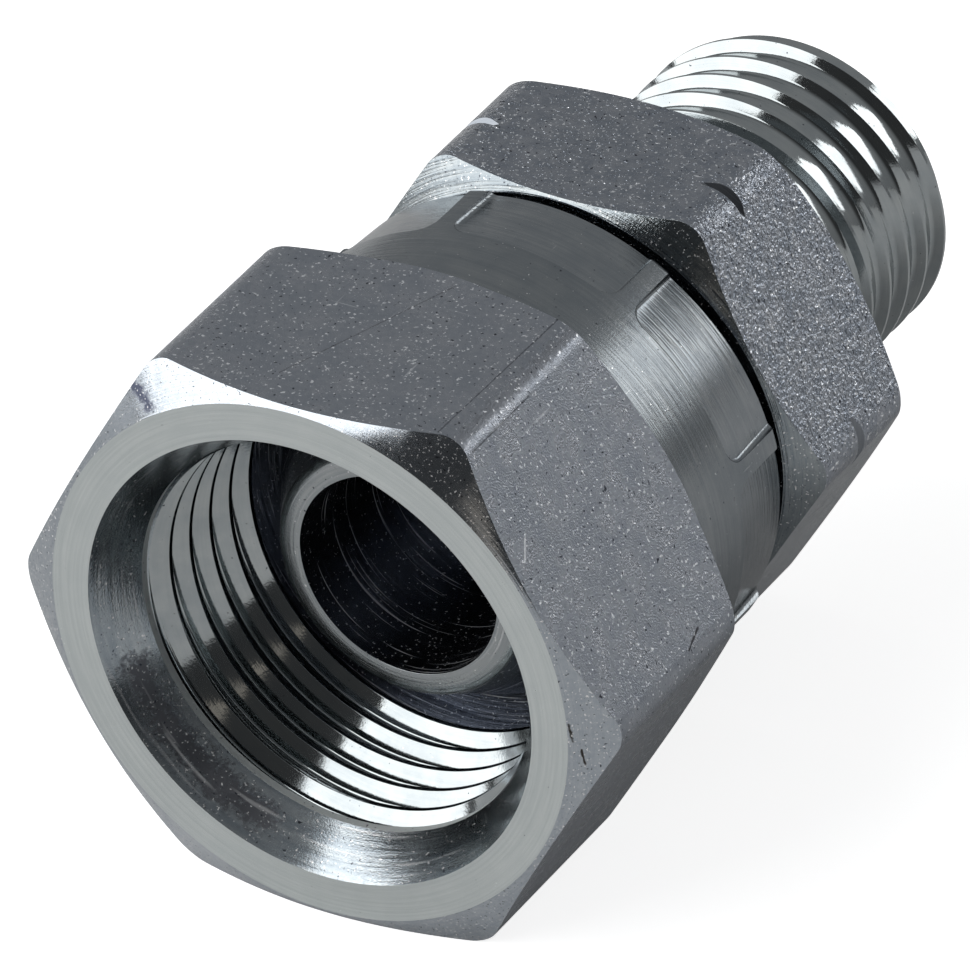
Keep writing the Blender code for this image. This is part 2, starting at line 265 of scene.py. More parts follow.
def thread_section(crest, outward, depth, crest_width, root_round):
    """The outline of the groove between two crests, as (radius, offset), with rounded corners.

    With outward 1 the groove goes out from the crest, as in a nut. With -1 it goes in, as on a bolt.
    """
    half_mouth = (PITCH - crest_width) / 2
    half_floor = half_mouth - depth * math.tan(FLANK)
    corner = 90.0 * DEGREE - FLANK
    half = [(depth, 0.0)]
    # The corner of the root and the edge of the crest are arcs that are tangent to the flank.
    reach = root_round * math.tan(corner / 2)
    for step in range(ROOT_STEPS + 1):
        angle = corner * step / ROOT_STEPS
        half.append((depth - root_round * (1 - math.cos(angle)),
                     half_floor - reach + root_round * math.sin(angle)))
    reach = CREST_ROUND * math.tan(corner / 2)
    for step in range(CREST_STEPS + 1):
        angle = corner * (1 - step / CREST_STEPS)
        half.append((CREST_ROUND * (1 - math.cos(angle)),
                     half_mouth + reach - CREST_ROUND * math.sin(angle)))
    half.append((-CUTTER_PROUD, half[-1][1]))
    whole = [(deep, -offset) for deep, offset in reversed(half[1:])] + half
    return [(crest + outward * deep, offset) for deep, offset in whole]


def thread_cutter(name, section, start, turns):
    """The helical groove of a right hand thread, as a solid bar with closed ends."""
    cutter = draw_outline(name, [(radius, start + offset) for radius, offset in section])
    bpy.ops.mesh.select_all(action="SELECT")
    bpy.ops.mesh.edge_face_add()
    bpy.ops.mesh.delete(type="ONLY_FACE")
    end_edit()
    screw = cutter.modifiers.new("Screw", "SCREW")
    screw.axis = "Z"
    screw.angle = math.tau * turns
    screw.screw_offset = PITCH * turns
    screw.iterations = 1
    screw.steps = round(THREAD_STEPS * turns)
    screw.render_steps = screw.steps
    apply_modifier(cutter, screw)
    start_edit(cutter)
    bpy.ops.mesh.remove_doubles(threshold=WELD / 10)
    bpy.ops.mesh.select_all(action="DESELECT")
    bpy.ops.mesh.select_non_manifold()
    bpy.ops.mesh.fill_holes(sides=0)
    end_solid()
    return cutter


def cut_off_below(thing, station):
    """Cuts a solid at a station and closes it, so that nothing of it is left in front."""
    start_edit(thing)
    bpy.ops.mesh.bisect(plane_co=(0, 0, station), plane_no=(0, 0, 1), use_fill=True, clear_inner=True,
                        threshold=WELD / 10)
    end_solid()
    return thing


def jaw_cutter(number):
    """The space that one crimping jaw takes out of the skirt: a rounded block, wrapped round the axis."""
    field = math.tau / JAWS * SKIRT - RIDGE_WIDTH
    high = NUT_LENGTH + BEYOND - CRIMP_START
    deep = CRIMP_DEPTH + BEYOND
    bpy.ops.mesh.primitive_cube_add(size=1.0, location=(0, deep / 2 - CRIMP_DEPTH, high / 2))
    cutter = bpy.context.object
    cutter.name = f"jaw_{number}"
    cutter.scale = (field, deep, high)
    bpy.ops.object.transform_apply(location=True, rotation=True, scale=True)
    start_edit(cutter, "DESELECT")
    bpy.ops.mesh.select_mode(type="EDGE")
    select_edges(cutter, lambda first, second: (max(first.z, second.z) < WELD
                                                and abs(first.y - second.y) > WELD))
    bpy.ops.mesh.bevel(offset=FIELD_CORNER, offset_type="OFFSET", segments=CORNER_STEPS, profile=0.5,
                       affect="EDGES")
    # The field's floor meets its walls in a fillet.
    floor, back = -CRIMP_DEPTH + WELD, high - WELD
    select_edges(cutter, lambda first, second: (max(first.y, second.y) < floor
                                                and min(first.z, second.z) < back))
    bpy.ops.mesh.bevel(offset=FIELD_FILLET, offset_type="OFFSET", segments=FILLET_STEPS, profile=0.5,
                       affect="EDGES")
    # Strips across the block let it bend when it is wrapped.
    for step in range(1, WRAP_STEPS):
        bpy.ops.mesh.select_all(action="SELECT")
        bpy.ops.mesh.bisect(plane_co=(field * (step / WRAP_STEPS - 0.5), 0, 0), plane_no=(1, 0, 0),
                            threshold=WELD / 10)
    bpy.ops.mesh.select_mode(type="VERT")
    end_edit()
    middle = FIRST_RIDGE + (number + 0.5) * math.tau / JAWS
    for vertex in cutter.data.vertices:
        angle = middle - vertex.co.x / SKIRT
        radius = SKIRT + vertex.co.y - vertex.co.z * math.tan(CRIMP_SLOPE)
        vertex.co = (radius * math.cos(angle), radius * math.sin(angle), vertex.co.z + CRIMP_START)
    start_edit(cutter)
    end_solid()
    return cutter


def drop(radius, start):
    """How far a hexagon's chamfer has come along the axis at a radius."""
    return (radius - start) * math.tan(CHAMFER)


def round_edges(thing):
    """Breaks the sharp edges, as plating and barrel finishing do."""
    start_edit(thing)
    bpy.ops.mesh.remove_doubles(threshold=WELD)
    end_edit()
    bevel = thing.modifiers.new("Broken edges", "BEVEL")
    bevel.width = EDGE_ROUND
    bevel.segments = EDGE_STEPS
    bevel.limit_method = "ANGLE"
    bevel.angle_limit = EDGE_ANGLE
    bevel.use_clamp_overlap = True
    bevel.miter_outer = "MITER_SHARP"
    apply_modifier(thing, bevel)


def nut_blank():
    """The nut before its thread: hexagon, chamfers, skirt, crimp, and the bore for the body."""
    reach = NUT_FLATS / math.sqrt(3.0) + BEYOND
    nut = hexagon_bar("swivel_nut_steel", NUT_FLATS, NUT_CORNER, -BEYOND, NUT_LENGTH + BEYOND, 0.0)
    outside = [(0.0, NUT_LENGTH)]
    outside += reversed(arc((SKIRT - SKIRT_EDGE, NUT_LENGTH - SKIRT_EDGE), SKIRT_EDGE, 0.0, 90.0, 6))
    outside += [
        (SKIRT, SKIRT_START),
        (NUT_BACK, NUT_HEX_END),
        (reach, NUT_HEX_END - drop(reach, NUT_BACK)),
        (reach, drop(reach, NUT_FACE)),
        (NUT_FACE, 0.0),
        (0.0, 0.0),
    ]
    cut(nut, turned("nut_outside", outside), "INTERSECT")
    for number in range(JAWS):
        cut(nut, jaw_cutter(number))
    land_start = (MOUTH - LAND) / math.tan(MOUTH_SLOPE)
    bore = [
        (0.0, NUT_LENGTH + BEYOND),
        (LIP + LIP_CHAMFER + BEYOND, NUT_LENGTH + BEYOND),
        (LIP, NUT_LENGTH - LIP_CHAMFER),
        (LIP, LIP_FRONT + COLLAR_BORE - LIP),
        (COLLAR_BORE, LIP_FRONT),
        (COLLAR_BORE, RELIEF_END),
        (RELIEF, RELIEF_END),
        (RELIEF, NUT_THREAD_END),
        (NUT_MINOR, NUT_THREAD_END),
        (NUT_MINOR, LAND_END + LAND - NUT_MINOR),
        (LAND, LAND_END),
        (LAND, land_start),
        (MOUTH + BEYOND * math.tan(MOUTH_SLOPE), -BEYOND),
        (0.0, -BEYOND),
    ]
    cut(nut, turned("nut_bore", bore))
    round_edges(nut)
    return nut


def body_blank():
    """The body before its thread: nose, collar, neck, hexagon with its corner groove, and stem."""
    corner = BODY_FLATS / math.sqrt(3.0)
    reach = corner + BEYOND
    middle = (HEX_FRONT + HEX_BACK) / 2
    body = hexagon_bar("adapter_body_steel", BODY_FLATS, BODY_CORNER, HEX_FRONT - BEYOND, HEX_BACK + BEYOND,
                       BODY_TURN)
    outside = [
        (0.0, HEX_BACK),
        (BODY_FACE, HEX_BACK),
        (reach, HEX_BACK - drop(reach, BODY_FACE)),
        (reach, HEX_FRONT + drop(reach, BODY_FACE)),
        (BODY_FACE, HEX_FRONT),
        (0.0, HEX_FRONT),
    ]
    cut(body, turned("body_outside", outside), "INTERSECT")
    floor = corner - BODY_CORNER * (1.0 / math.cos(HALF_SIDE) - 1.0) - GROOVE_DEPTH
    ring = [(reach, GROOVE_FLOOR_END + reach - floor), (reach, GROOVE_FRONT), (floor, GROOVE_FRONT),
            (floor, GROOVE_FLOOR_END), (reach, GROOVE_FLOOR_END + reach - floor)]
    cut(body, turned("corner_groove", ring))
    tip = (NOSE_TIP - NOSE_EDGE * math.tan(NOSE_SLOPE), NOSE + NOSE_EDGE)
    stem = [
        (0.0, MALE_END),
        (MALE_MAJOR - MALE_CHAMFER, MALE_END),
        (MALE_MAJOR, MALE_END - MALE_CHAMFER),
        (MALE_MAJOR, UNDERCUT_END + MALE_MAJOR - UNDERCUT),
        (UNDERCUT, UNDERCUT_END),
    ]
    stem += arc((UNDERCUT + FILLET, HEX_BACK + FILLET), FILLET, 180.0, 270.0, 8)
    stem += [
        (UNDERCUT + FILLET, middle),
        (NECK, middle),
        (NECK, COLLAR_BACK + COLLAR - NECK),
        (COLLAR, COLLAR_BACK),
        (COLLAR, COLLAR_FRONT),
    ]
    stem += arc(tip, NOSE_EDGE, -30.0, -90.0, 8)
    stem += [(0.0, NOSE)]
    cut(body, turned("stem", stem), "UNION")
    drill_tip = (BORE - SMALL_BORE) / math.tan(DRILL_HALF_ANGLE)
    bore = [
        (0.0, MALE_END + BEYOND),
        (SMALL_BORE + SMALL_CHAMFER + BEYOND, MALE_END + BEYOND),
        (SMALL_BORE, MALE_END - SMALL_CHAMFER),
        (SMALL_BORE, BORE_END + drill_tip),
        (BORE, BORE_END),
        (BORE, NOSE - BEYOND),
        (0.0, NOSE - BEYOND),
    ]
    cut(body, turned("body_bore", bore))
    round_edges(body)
    return body


def lay_down(thing):
    """Lays a piece that was modelled along Z on the fitting's axis, with its place in its mesh."""
    thing.rotation_euler = (-90.0 * DEGREE, 0.0, 0.0)
    thing.location = (0.0, MOUTH_PLACE, AXIS_HEIGHT)
    pick(thing)
    bpy.ops.object.transform_apply(location=True, rotation=True, scale=True)


def shade(thing):
    """Smooth shading that keeps the flats flat."""
    pick(thing)
    bpy.ops.object.shade_smooth_by_angle(angle=SMOOTH_ANGLE, keep_sharp_edges=False)
    weighted = thing.modifiers.new("Weighted normals", "WEIGHTED_NORMAL")
    weighted.keep_sharp = True
    weighted.weight = 60
    apply_modifier(thing, weighted)


def zone_of_nut(station, radius, normal):
    """Names the surface of the nut that a face lies on."""
    if normal.z < -FACE_LEAN and station < NEAR:
        return "face_ring"
    if station < NUT_CHAMFER_END and radius > 9.9 * MM and normal.z < -SIDE_LEAN:
        return "nut_chamfer"
    if station < LAND_END + NEAR and radius < MOUTH + 3 * NEAR:
        return "mouth_land" if radius < LAND + 0.03 * MM and abs(normal.z) < 0.3 else "mouth_cone"
    if station < NUT_THREAD_END + NEAR / 2 and radius < RELIEF + NEAR:
        return "thread"
    if station < NUT_HEX_END and radius > BELOW_FLATS and abs(normal.z) < SIDE_LEAN:
        return "nut_flats"
    if station > CRIMP_START and INSIDE < radius < SKIRT - 0.07 * MM and abs(normal.z) < 2 * SIDE_LEAN:
        return "pressed_field"
    if radius > INSIDE and station > 8.0 * MM:
        return "skirt"
    return "bore"


def zone_of_body(station, radius, normal):
    """Names the surface of the body that a face lies on."""
    if radius < BORE + 0.12 * MM and station > NOSE + 0.2 * MM:
        return "bore"
    if station < NOSE + NOSE_EDGE:
        return "nose"
    if station < HEX_FRONT - NEAR / 2:
        return "bore"
    if station < HEX_BACK + NEAR / 2:
        if radius > BELOW_FLATS and GROOVE_FRONT - WELD < station < GROOVE_FLOOR_END + 4 * NEAR:
            return "corner_groove"
        if radius > BODY_FLATS / 2 - 3 * NEAR and abs(normal.z) < SIDE_LEAN:
            return "body_flats"
        return "body_chamfer"
    return "thread"


def sort_faces(piece, zone_of, finishes):
    """Gives every face of a piece the finish of the surface that it lies on."""
    names = list(finishes)
    piece.data.materials.clear()
    for name in names:
        piece.data.materials.append(finishes[name])
    for face in piece.data.polygons:
        place = face.center
        radius = math.hypot(place.x, place.y)
        face.material_index = names.index(zone_of(place.z, radius, face.normal))


def new_group(name, inputs, outputs):
    """An empty node group. All its inputs and outputs are numbers."""
    group = bpy.data.node_groups.new(name, "ShaderNodeTree")
    for way, labels in (("INPUT", inputs), ("OUTPUT", outputs)):
        for label in labels:
            group.interface.new_socket(name=label, in_out=way, socket_type="NodeSocketFloat")
    start = group.nodes.new("NodeGroupInput")
    end = group.nodes.new("NodeGroupOutput")
    return group, start.outputs, end.inputs


def calculate(tree, operation, first, second=None, third=None, clamp=False):
    """A Math node. Each value is a number or the output of another node."""
    node = tree.nodes.new("ShaderNodeMath")
    node.operation = operation
    node.use_clamp = clamp
    for socket, value in zip(node.inputs, (first, second, third)):
        if value is None:
            continue
        if isinstance(value, (int, float)):
            socket.default_value = value
        else:
            tree.links.new(value, socket)
    return node.outputs[0]


def noise(tree, vector, scale, detail=2.0, roughness=0.5):
    """A Noise Texture node. Its scale is a number or the output of another node."""
    node = tree.nodes.new("ShaderNodeTexNoise")
    node.inputs["Detail"].default_value = detail
    node.inputs["Roughness"].default_value = roughness
    tree.links.new(vector, node.inputs["Vector"])
    if isinstance(scale, (int, float)):
        node.inputs["Scale"].default_value = scale
    else:
        tree.links.new(scale, node.inputs["Scale"])
    return node.outputs["Fac"]


def spread(tree, value, low, high, new_low=0.0, new_high=1.0):
    """A clamped Map Range node."""
    node = tree.nodes.new("ShaderNodeMapRange")
    for label, number in (("From Min", low), ("From Max", high), ("To Min", new_low), ("To Max", new_high)):
        if isinstance(number, (int, float)):
            node.inputs[label].default_value = number
        else:
            tree.links.new(number, node.inputs[label])
    tree.links.new(value, node.inputs["Value"])
    return node.outputs["Result"]


def place_on_axis(tree, stretch=(1.0, 1.0, 1.0), turn=(0.0, 0.0, 0.0)):
    """Object coordinates: centred on the fitting's axis, or turned to slant across it."""
    coordinates = tree.nodes.new("ShaderNodeTexCoord")
    mapping = tree.nodes.new("ShaderNodeMapping")
    mapping.vector_type = "POINT"
    if turn == (0.0, 0.0, 0.0):
        mapping.inputs["Location"].default_value = (0.0, 0.0, -AXIS_HEIGHT * stretch[2])
    mapping.inputs["Rotation"].default_value = turn
    mapping.inputs["Scale"].default_value = stretch
    tree.links.new(coordinates.outputs["Object"], mapping.inputs["Vector"])
    return mapping.outputs["Vector"]


# How often a ring fades in and out, for each metre along it.
RING_BREAKS = 170.0


def turned_lines_group():
    """The fine rings that a lathe tool leaves: on faces by their radius, and on sides by their station."""
    group, given, result = new_group("turned lines", ["Pitch"], ["Height", "Mask", "Streaks"])
    split = group.nodes.new("ShaderNodeSeparateXYZ")
    group.links.new(place_on_axis(group), split.inputs[0])
    across = calculate(group, "MULTIPLY", split.outputs["X"], split.outputs["X"])
    across = calculate(group, "MULTIPLY_ADD", split.outputs["Z"], split.outputs["Z"], across)
    radius = calculate(group, "SQRT", across)
    along = calculate(group, "ADD", radius, calculate(group, "MULTIPLY", split.outputs["Y"], 0.83))
    # Fast across the rings and slow along them, so that each ring fades in and out on its way round.
    joined = group.nodes.new("ShaderNodeCombineXYZ")
    group.links.new(calculate(group, "MULTIPLY", split.outputs["X"], RING_BREAKS), joined.inputs["X"])
    group.links.new(calculate(group, "DIVIDE", along, given["Pitch"]), joined.inputs["Y"])
    group.links.new(calculate(group, "MULTIPLY", split.outputs["Z"], RING_BREAKS), joined.inputs["Z"])
    line = noise(group, joined.outputs[0], 1.0, 3.0, 0.62)
    group.links.new(line, result["Height"])
    group.links.new(spread(group, line, 0.36, 0.64), result["Mask"])
    streak = noise(group, joined.outputs[0], 1.31, 1.0, 0.5)
    group.links.new(spread(group, streak, 0.63, 0.72), result["Streaks"])
    return group


def grain_group():
    """Blasted or rolled grain: fine relief, points of light, dark pits, mottling and cloudy patches."""
    group, given, result = new_group("blasted grain", ["Size", "Points", "Speck size"],
                                     ["Height", "Specks", "Pits", "Mottle", "Clouds"])
    place = place_on_axis(group)
    scale = calculate(group, "DIVIDE", 1.0, given["Size"])
    group.links.new(noise(group, place, scale, 2.0, 0.55), result["Height"])
    coarse = calculate(group, "DIVIDE", 1.0, given["Speck size"])
    light = noise(group, place, coarse, 1.0, 0.5)
    low = calculate(group, "MULTIPLY_ADD", given["Points"], -0.16, 0.79)
    group.links.new(spread(group, light, low, calculate(group, "ADD", low, 0.07)), result["Specks"])
    deep = noise(group, place, calculate(group, "MULTIPLY", coarse, 0.83), 1.0, 0.5)
    low = calculate(group, "MULTIPLY_ADD", given["Points"], -0.08, 0.76)
    group.links.new(spread(group, deep, low, calculate(group, "ADD", low, 0.05)), result["Pits"])
    mottle = noise(group, place, calculate(group, "MULTIPLY", scale, 0.31), 2.0, 0.6)
    group.links.new(spread(group, mottle, 0.35, 0.65), result["Mottle"])
    group.links.new(noise(group, place, 700.0, 3.0, 0.6), result["Clouds"])
    return group


def scratch_group():
    """Thin scratches in two directions, from the other fittings in the box."""
    group, given, result = new_group("box scratches", ["Amount"], ["Mask"])
    first = noise(group, place_on_axis(group, (1.0, 0.05, 1.0), (0.5, 0.9, 0.35)), 6900.0, 1.0)
    second = noise(group, place_on_axis(group, (0.04, 1.0, 1.0), (0.2, -0.4, 0.8)), 6300.0, 1.0)
    lines = calculate(group, "MAXIMUM", spread(group, first, 0.74, 0.79), spread(group, second, 0.75, 0.8))
    where = spread(group, noise(group, place_on_axis(group), 330.0, 1.0), 0.48, 0.65)
    there = calculate(group, "MULTIPLY", lines, where)
    group.links.new(calculate(group, "MULTIPLY", there, given["Amount"]), result["Mask"])
    return group


def use_group(tree, group, values):
    """Places a node group in a material with its own values, and gives its outputs."""
    node = tree.nodes.new("ShaderNodeGroup")
    node.node_tree = group
    for label, value in values.items():
        node.inputs[label].default_value = value
    return node.outputs


def mix_color(tree, factor, first, second):
    """A Mix node for colours. The factor is an output, and each colour is a tuple or an output."""
    node = tree.nodes.new("ShaderNodeMix")
    node.data_type = "RGBA"
    for socket, value in ((node.inputs[0], factor), (node.inputs[6], first), (node.inputs[7], second)):
        if isinstance(value, tuple):
            socket.default_value = (*value, 1.0)
        else:
            tree.links.new(value, socket)
    return node.outputs[2]


def vector_math(tree, operation, first, second=None, result="Vector"):
    """A Vector Math node. The second value is a vector or the output of another node."""
    node = tree.nodes.new("ShaderNodeVectorMath")
    node.operation = operation
    tree.links.new(first, node.inputs[0])
    if isinstance(second, Vector):
        node.inputs[1].default_value = second
    elif second is not None:
        tree.links.new(second, node.inputs[1])
    return node.outputs[result]


def mark_or_shade_mask(tree, start, end, width):
    """One mark or band of painted shade on the piece, along a line between two points in millimetres, with a
    ragged edge.
    """
    coordinates = tree.nodes.new("ShaderNodeTexCoord").outputs["Object"]
    first, last = Vector(start) * MM, Vector(end) * MM
    run = last - first
    from_start = vector_math(tree, "SUBTRACT", coordinates, first)
    share = vector_math(tree, "DOT_PRODUCT", from_start, run, "Value")
    share = calculate(tree, "DIVIDE", share, run.length_squared, clamp=True)
    along = tree.nodes.new("ShaderNodeVectorMath")
    along.operation = "SCALE"
    along.inputs[0].default_value = run
    tree.links.new(share, along.inputs["Scale"])
    away = vector_math(tree, "SUBTRACT", from_start, along.outputs["Vector"])
    distance = vector_math(tree, "LENGTH", away, result="Value")
    ragged = calculate(tree, "MULTIPLY", noise(tree, coordinates, 4200.0, 3.0, 0.65), width * MM * 2.0)
    distance = calculate(tree, "ADD", distance, ragged)
    return spread(tree, distance, width * MM * 1.3, width * MM * 1.8, 1.0, 0.0)


PIT_COLOR = (0.05, 0.055, 0.07)
SCRATCH_DEPTH = 2 * MICRON


def zinc(name, groups, color, roughness, *, pitch, line_height, line_tint=0.3, streaks=0.0, grain=80,
         grain_height, points, speck=120, speck_color=(0.9, 0.9, 0.9), scatter=0.0, mottle=0.0, cloud=0.12,
         scratches=0.3, shade=(0.55, 0.6, 0.66), marks_and_shade=(), metallic=1.0):
    """Zinc plate on machined steel.

    The lines' pitch, the sizes of the grain and the specks, and the two heights are in microns. points says
    how many specks and pits there are, and scatter how dull the specks are. line_tint, streaks, mottle and
    cloud say how much each darkens or lightens the colour. A mark, or a band or line of painted shade, is
    (start, end, width, color), in mm.
    """
    material = bpy.data.materials.new(name)
    material.use_nodes = True
    tree = material.node_tree
    shader = tree.nodes["Principled BSDF"]
    lines = use_group(tree, groups["lines"], {"Pitch": pitch * MICRON})
    blast = use_group(tree, groups["grain"],
                      {"Size": grain * MICRON, "Points": points, "Speck size": speck * MICRON})
    box = use_group(tree, groups["scratches"], {"Amount": scratches})
    dark = tuple(part * tint for part, tint in zip(color, shade))
    clouds = spread(tree, blast["Clouds"], 0.35, 0.65, 0.0, cloud)
    base = mix_color(tree, clouds, color, dark)
    base = mix_color(tree, calculate(tree, "MULTIPLY", lines["Mask"], line_tint), base, dark)
    base = mix_color(tree, calculate(tree, "MULTIPLY", blast["Mottle"], mottle), base, dark)
    rough = calculate(tree, "MULTIPLY_ADD", blast["Clouds"], 0.12, roughness - 0.06)
    rough = calculate(tree, "MULTIPLY_ADD", box["Mask"], 0.15, rough)
    # Marks mixed into the colour; some of them are painted shade, bands and lines painted darker where shade
    # falls.
    for start, end, width, mark_or_shade_color in marks_and_shade:
        mask = mark_or_shade_mask(tree, start, end, width)
        base = mix_color(tree, mask, base, mark_or_shade_color)
        rough = calculate(tree, "MULTIPLY_ADD", mask, 0.2, rough)
    base = mix_color(tree, blast["Pits"], base, PIT_COLOR)
    torn = calculate(tree, "MULTIPLY", lines["Streaks"], streaks)
    base = mix_color(tree, torn, base, speck_color)
    base = mix_color(tree, blast["Specks"], base, speck_color)
    base = mix_color(tree, box["Mask"], base, speck_color)
    tree.links.new(base, shader.inputs["Base Color"])
    shader.inputs["Metallic"].default_value = metallic
    if streaks or scatter:
        # Torn metal and some specks scatter the light, where the plate round them mirrors it.
        dull = calculate(tree, "MAXIMUM", torn, calculate(tree, "MULTIPLY", blast["Specks"], scatter))
        metal = calculate(tree, "MULTIPLY_ADD", dull, -0.5 * metallic, metallic)
        tree.links.new(metal, shader.inputs["Metallic"])
    tree.links.new(calculate(tree, "MAXIMUM", rough, 0.03), shader.inputs["Roughness"])
    height = calculate(tree, "MULTIPLY", lines["Height"], line_height * MICRON)
    height = calculate(tree, "MULTIPLY_ADD", blast["Height"], grain_height * MICRON, height)
    height = calculate(tree, "MULTIPLY_ADD", box["Mask"], -SCRATCH_DEPTH, height)
    bump = tree.nodes.new("ShaderNodeBump")
    bump.inputs["Strength"].default_value = 1.0
    bump.inputs["Distance"].default_value = 1.0
    tree.links.new(height, bump.inputs["Height"])
    tree.links.new(bump.outputs["Normal"], shader.inputs["Normal"])
    return material


def flat_marks_and_shade():
    """The nut's flats: a lap line, two scratches, and the rounded corner between two flats, painted darker as
    shade and made rougher, with painted dark shade lines along its borders.
    """
    return (
        ((1.2, -8.9, 22.0), (-1.6, -16.6, 22.0), 0.05, (0.2, 0.21, 0.23)),
        ((8.51, -16.9, 18.25), (8.92, -17.67, 17.55), 0.06, (0.85, 0.87, 0.9)),
        ((12.18, -11.37, 11.91), (12.36, -12.39, 11.58), 0.07, (0.08, 0.08, 0.09)),
        # Painted shade: the rounded corner, painted darker than the flats; the mark also makes it rougher.
        ((6.3, -18.0, 21.75), (6.3, -8.4, 21.75), 0.4, (0.25, 0.265, 0.29)),
        # Painted shade: thin dark lines along the corner's two borders, the right one broken.
        ((5.5, -17.5, 22.0), (5.66, -8.9, 22.0), 0.055, (0.14, 0.15, 0.17)),
        ((6.74, -17.2, 21.34), (6.72, -13.2, 21.36), 0.05, (0.16, 0.17, 0.19)),
    )


def chamfer_marks():
    """The nut's front chamfer: a dark speckled patch on the left, and two pits low on the right."""
    pit = (0.05, 0.045, 0.04)
    return (
        ((-7.4, -17.7, 20.8), (-6.2, -18.3, 20.3), 0.42, (0.09, 0.1, 0.14)),
        ((10.85, -18.46, 11.6), (10.95, -18.4, 10.9), 0.09, pit),
        ((11.2, -18.25, 10.5), (11.3, -18.2, 9.8), 0.07, pit),
    )


def mouth_dark_patch():
    """A darker patch on the side of the mouth, low on the left. It follows the cone round in three short
    runs.
    """
    radius, station, axis = 8.75, -17.5, 11.0
    marks_and_shade = []
    for sides in ((-112, -128), (-128, -146), (-146, -160)):
        ends = [(radius * math.sin(side * DEGREE), station, axis + radius * math.cos(side * DEGREE))
                for side in sides]
        marks_and_shade.append((*ends, 1.05, (0.15, 0.155, 0.17)))
    return tuple(marks_and_shade)


def make_finishes():
    """One finish for each kind of surface, from the mirror of the threads to the blasted flats."""
    groups = {"lines": turned_lines_group(), "grain": grain_group(), "scratches": scratch_group()}
    return {
        "face_ring": zinc(
            "turned_face_zinc", groups, (0.74, 0.78, 0.77), 0.24, pitch=100, line_height=5, line_tint=0.45,
            grain_height=1, points=-0.3, cloud=0.2, shade=(0.72, 0.74, 0.76)),
        "nut_chamfer": zinc(
            "turned_chamfer_zinc", groups, (0.50, 0.53, 0.56), 0.14, pitch=90, line_height=5, grain=70,
            grain_height=1.5, points=0.9, speck=90, scatter=0.7, mottle=0.3, marks_and_shade=chamfer_marks()),
        "mouth_cone": zinc(
            "mouth_cone_zinc", groups, (0.45, 0.485, 0.50), 0.17, pitch=90, line_height=9, line_tint=0.65,
            streaks=0.5, grain_height=4, points=0.8, speck_color=(0.8, 0.8, 0.8), scatter=0.6, mottle=0.3,
            marks_and_shade=mouth_dark_patch()),
        "mouth_land": zinc(
            "mouth_land_zinc", groups, (0.62, 0.65, 0.64), 0.45, pitch=50, line_height=3, grain=90,
            grain_height=14, points=0.5, metallic=0.35),
        "thread": zinc(
            "bright_thread_zinc", groups, (0.44, 0.465, 0.465), 0.08, pitch=60, line_height=0.8,
            line_tint=0.15, grain=100, grain_height=1.2, points=0.0, cloud=0.35, scratches=0.1),
        "nut_flats": zinc(
            "drawn_flat_zinc", groups, (0.40, 0.42, 0.455), 0.28, pitch=300, line_height=0, line_tint=0.0,
            grain=70, grain_height=22, points=0.85, speck=140, speck_color=(0.95, 0.97, 1.0), mottle=0.3,
            cloud=0.4, scratches=0.4, marks_and_shade=flat_marks_and_shade()),
        "skirt": zinc(
            "turned_skirt_zinc", groups, (0.30, 0.32, 0.33), 0.24, pitch=110, line_height=16, line_tint=0.35,
            grain_height=3, points=0.2, cloud=0.35),
        "pressed_field": zinc(
            "pressed_field_zinc", groups, (0.33, 0.35, 0.36), 0.19, pitch=110, line_height=18, line_tint=0.4,
            grain_height=2, points=0.2, cloud=0.4),
        "nose": zinc(
            "turned_nose_zinc", groups, (0.44, 0.46, 0.46), 0.12, pitch=90, line_height=9, line_tint=0.5,
            streaks=0.4, grain_height=4, points=0.5),
        "bore": zinc(
            "dark_bore_zinc", groups, (0.26, 0.28, 0.32), 0.2, pitch=130, line_height=30, streaks=1.0,
            grain_height=6, points=0.8, speck_color=(0.9, 0.92, 0.95), scatter=0.8, scratches=0.5),
        # The groove's plate is painted darker than the body's other plate: painted shade in the groove.
        "corner_groove": zinc(
            "smooth_groove_painted_shade", groups, (0.24, 0.255, 0.275), 0.12, pitch=120, line_height=4,
            grain_height=2, points=0.0, scratches=0.0),
        "body_flats": zinc(
            "blasted_flat_zinc", groups, (0.39, 0.41, 0.445), 0.1, pitch=300, line_height=0, line_tint=0.0,
            grain=170, grain_height=90, points=0.9, speck=140, speck_color=(0.95, 0.97, 1.0), mottle=0.6,
            cloud=0.3),
        "body_chamfer": zinc(
            "body_chamfer_zinc", groups, (0.36, 0.385, 0.39), 0.10, pitch=150, line_height=32,
            line_tint=0.65, grain=90, grain_height=6, points=0.8, speck=100, scatter=0.8, mottle=0.4),
    }


def add_camera():
    """The photograph's view: from the right, in front of the nut and above it, with a long lens."""
    right = Vector((0.86376775, 0.50153055, -0.04870706))
    up = Vector((-0.24044332, 0.495185, 0.83485258))
    back = Vector((0.44282308, -0.70940744, 0.5483145))
    data = bpy.data.cameras.new("photo_camera")
    data.lens = 519.684
    data.sensor_width = 36.0
    data.clip_start = 0.05
    data.clip_end = 50.0
    camera = bpy.data.objects.new("photo_camera", data)
    bpy.context.scene.collection.objects.link(camera)
    turn = Matrix((right, up, back)).transposed().to_4x4()
    place = Vector((0.2275517, -0.3702991, 0.2929555))
    camera.matrix_world = Matrix.Translation(place) @ turn
    bpy.context.scene.camera = camera


def direction(azimuth, elevation):
    """A way out from the object, in degrees: azimuth 0 is in front of the nut, and 90 on the right."""
    side, high = azimuth * DEGREE, elevation * DEGREE
    return Vector((math.sin(side) * math.cos(high), -math.cos(side) * math.cos(high), math.sin(high)))


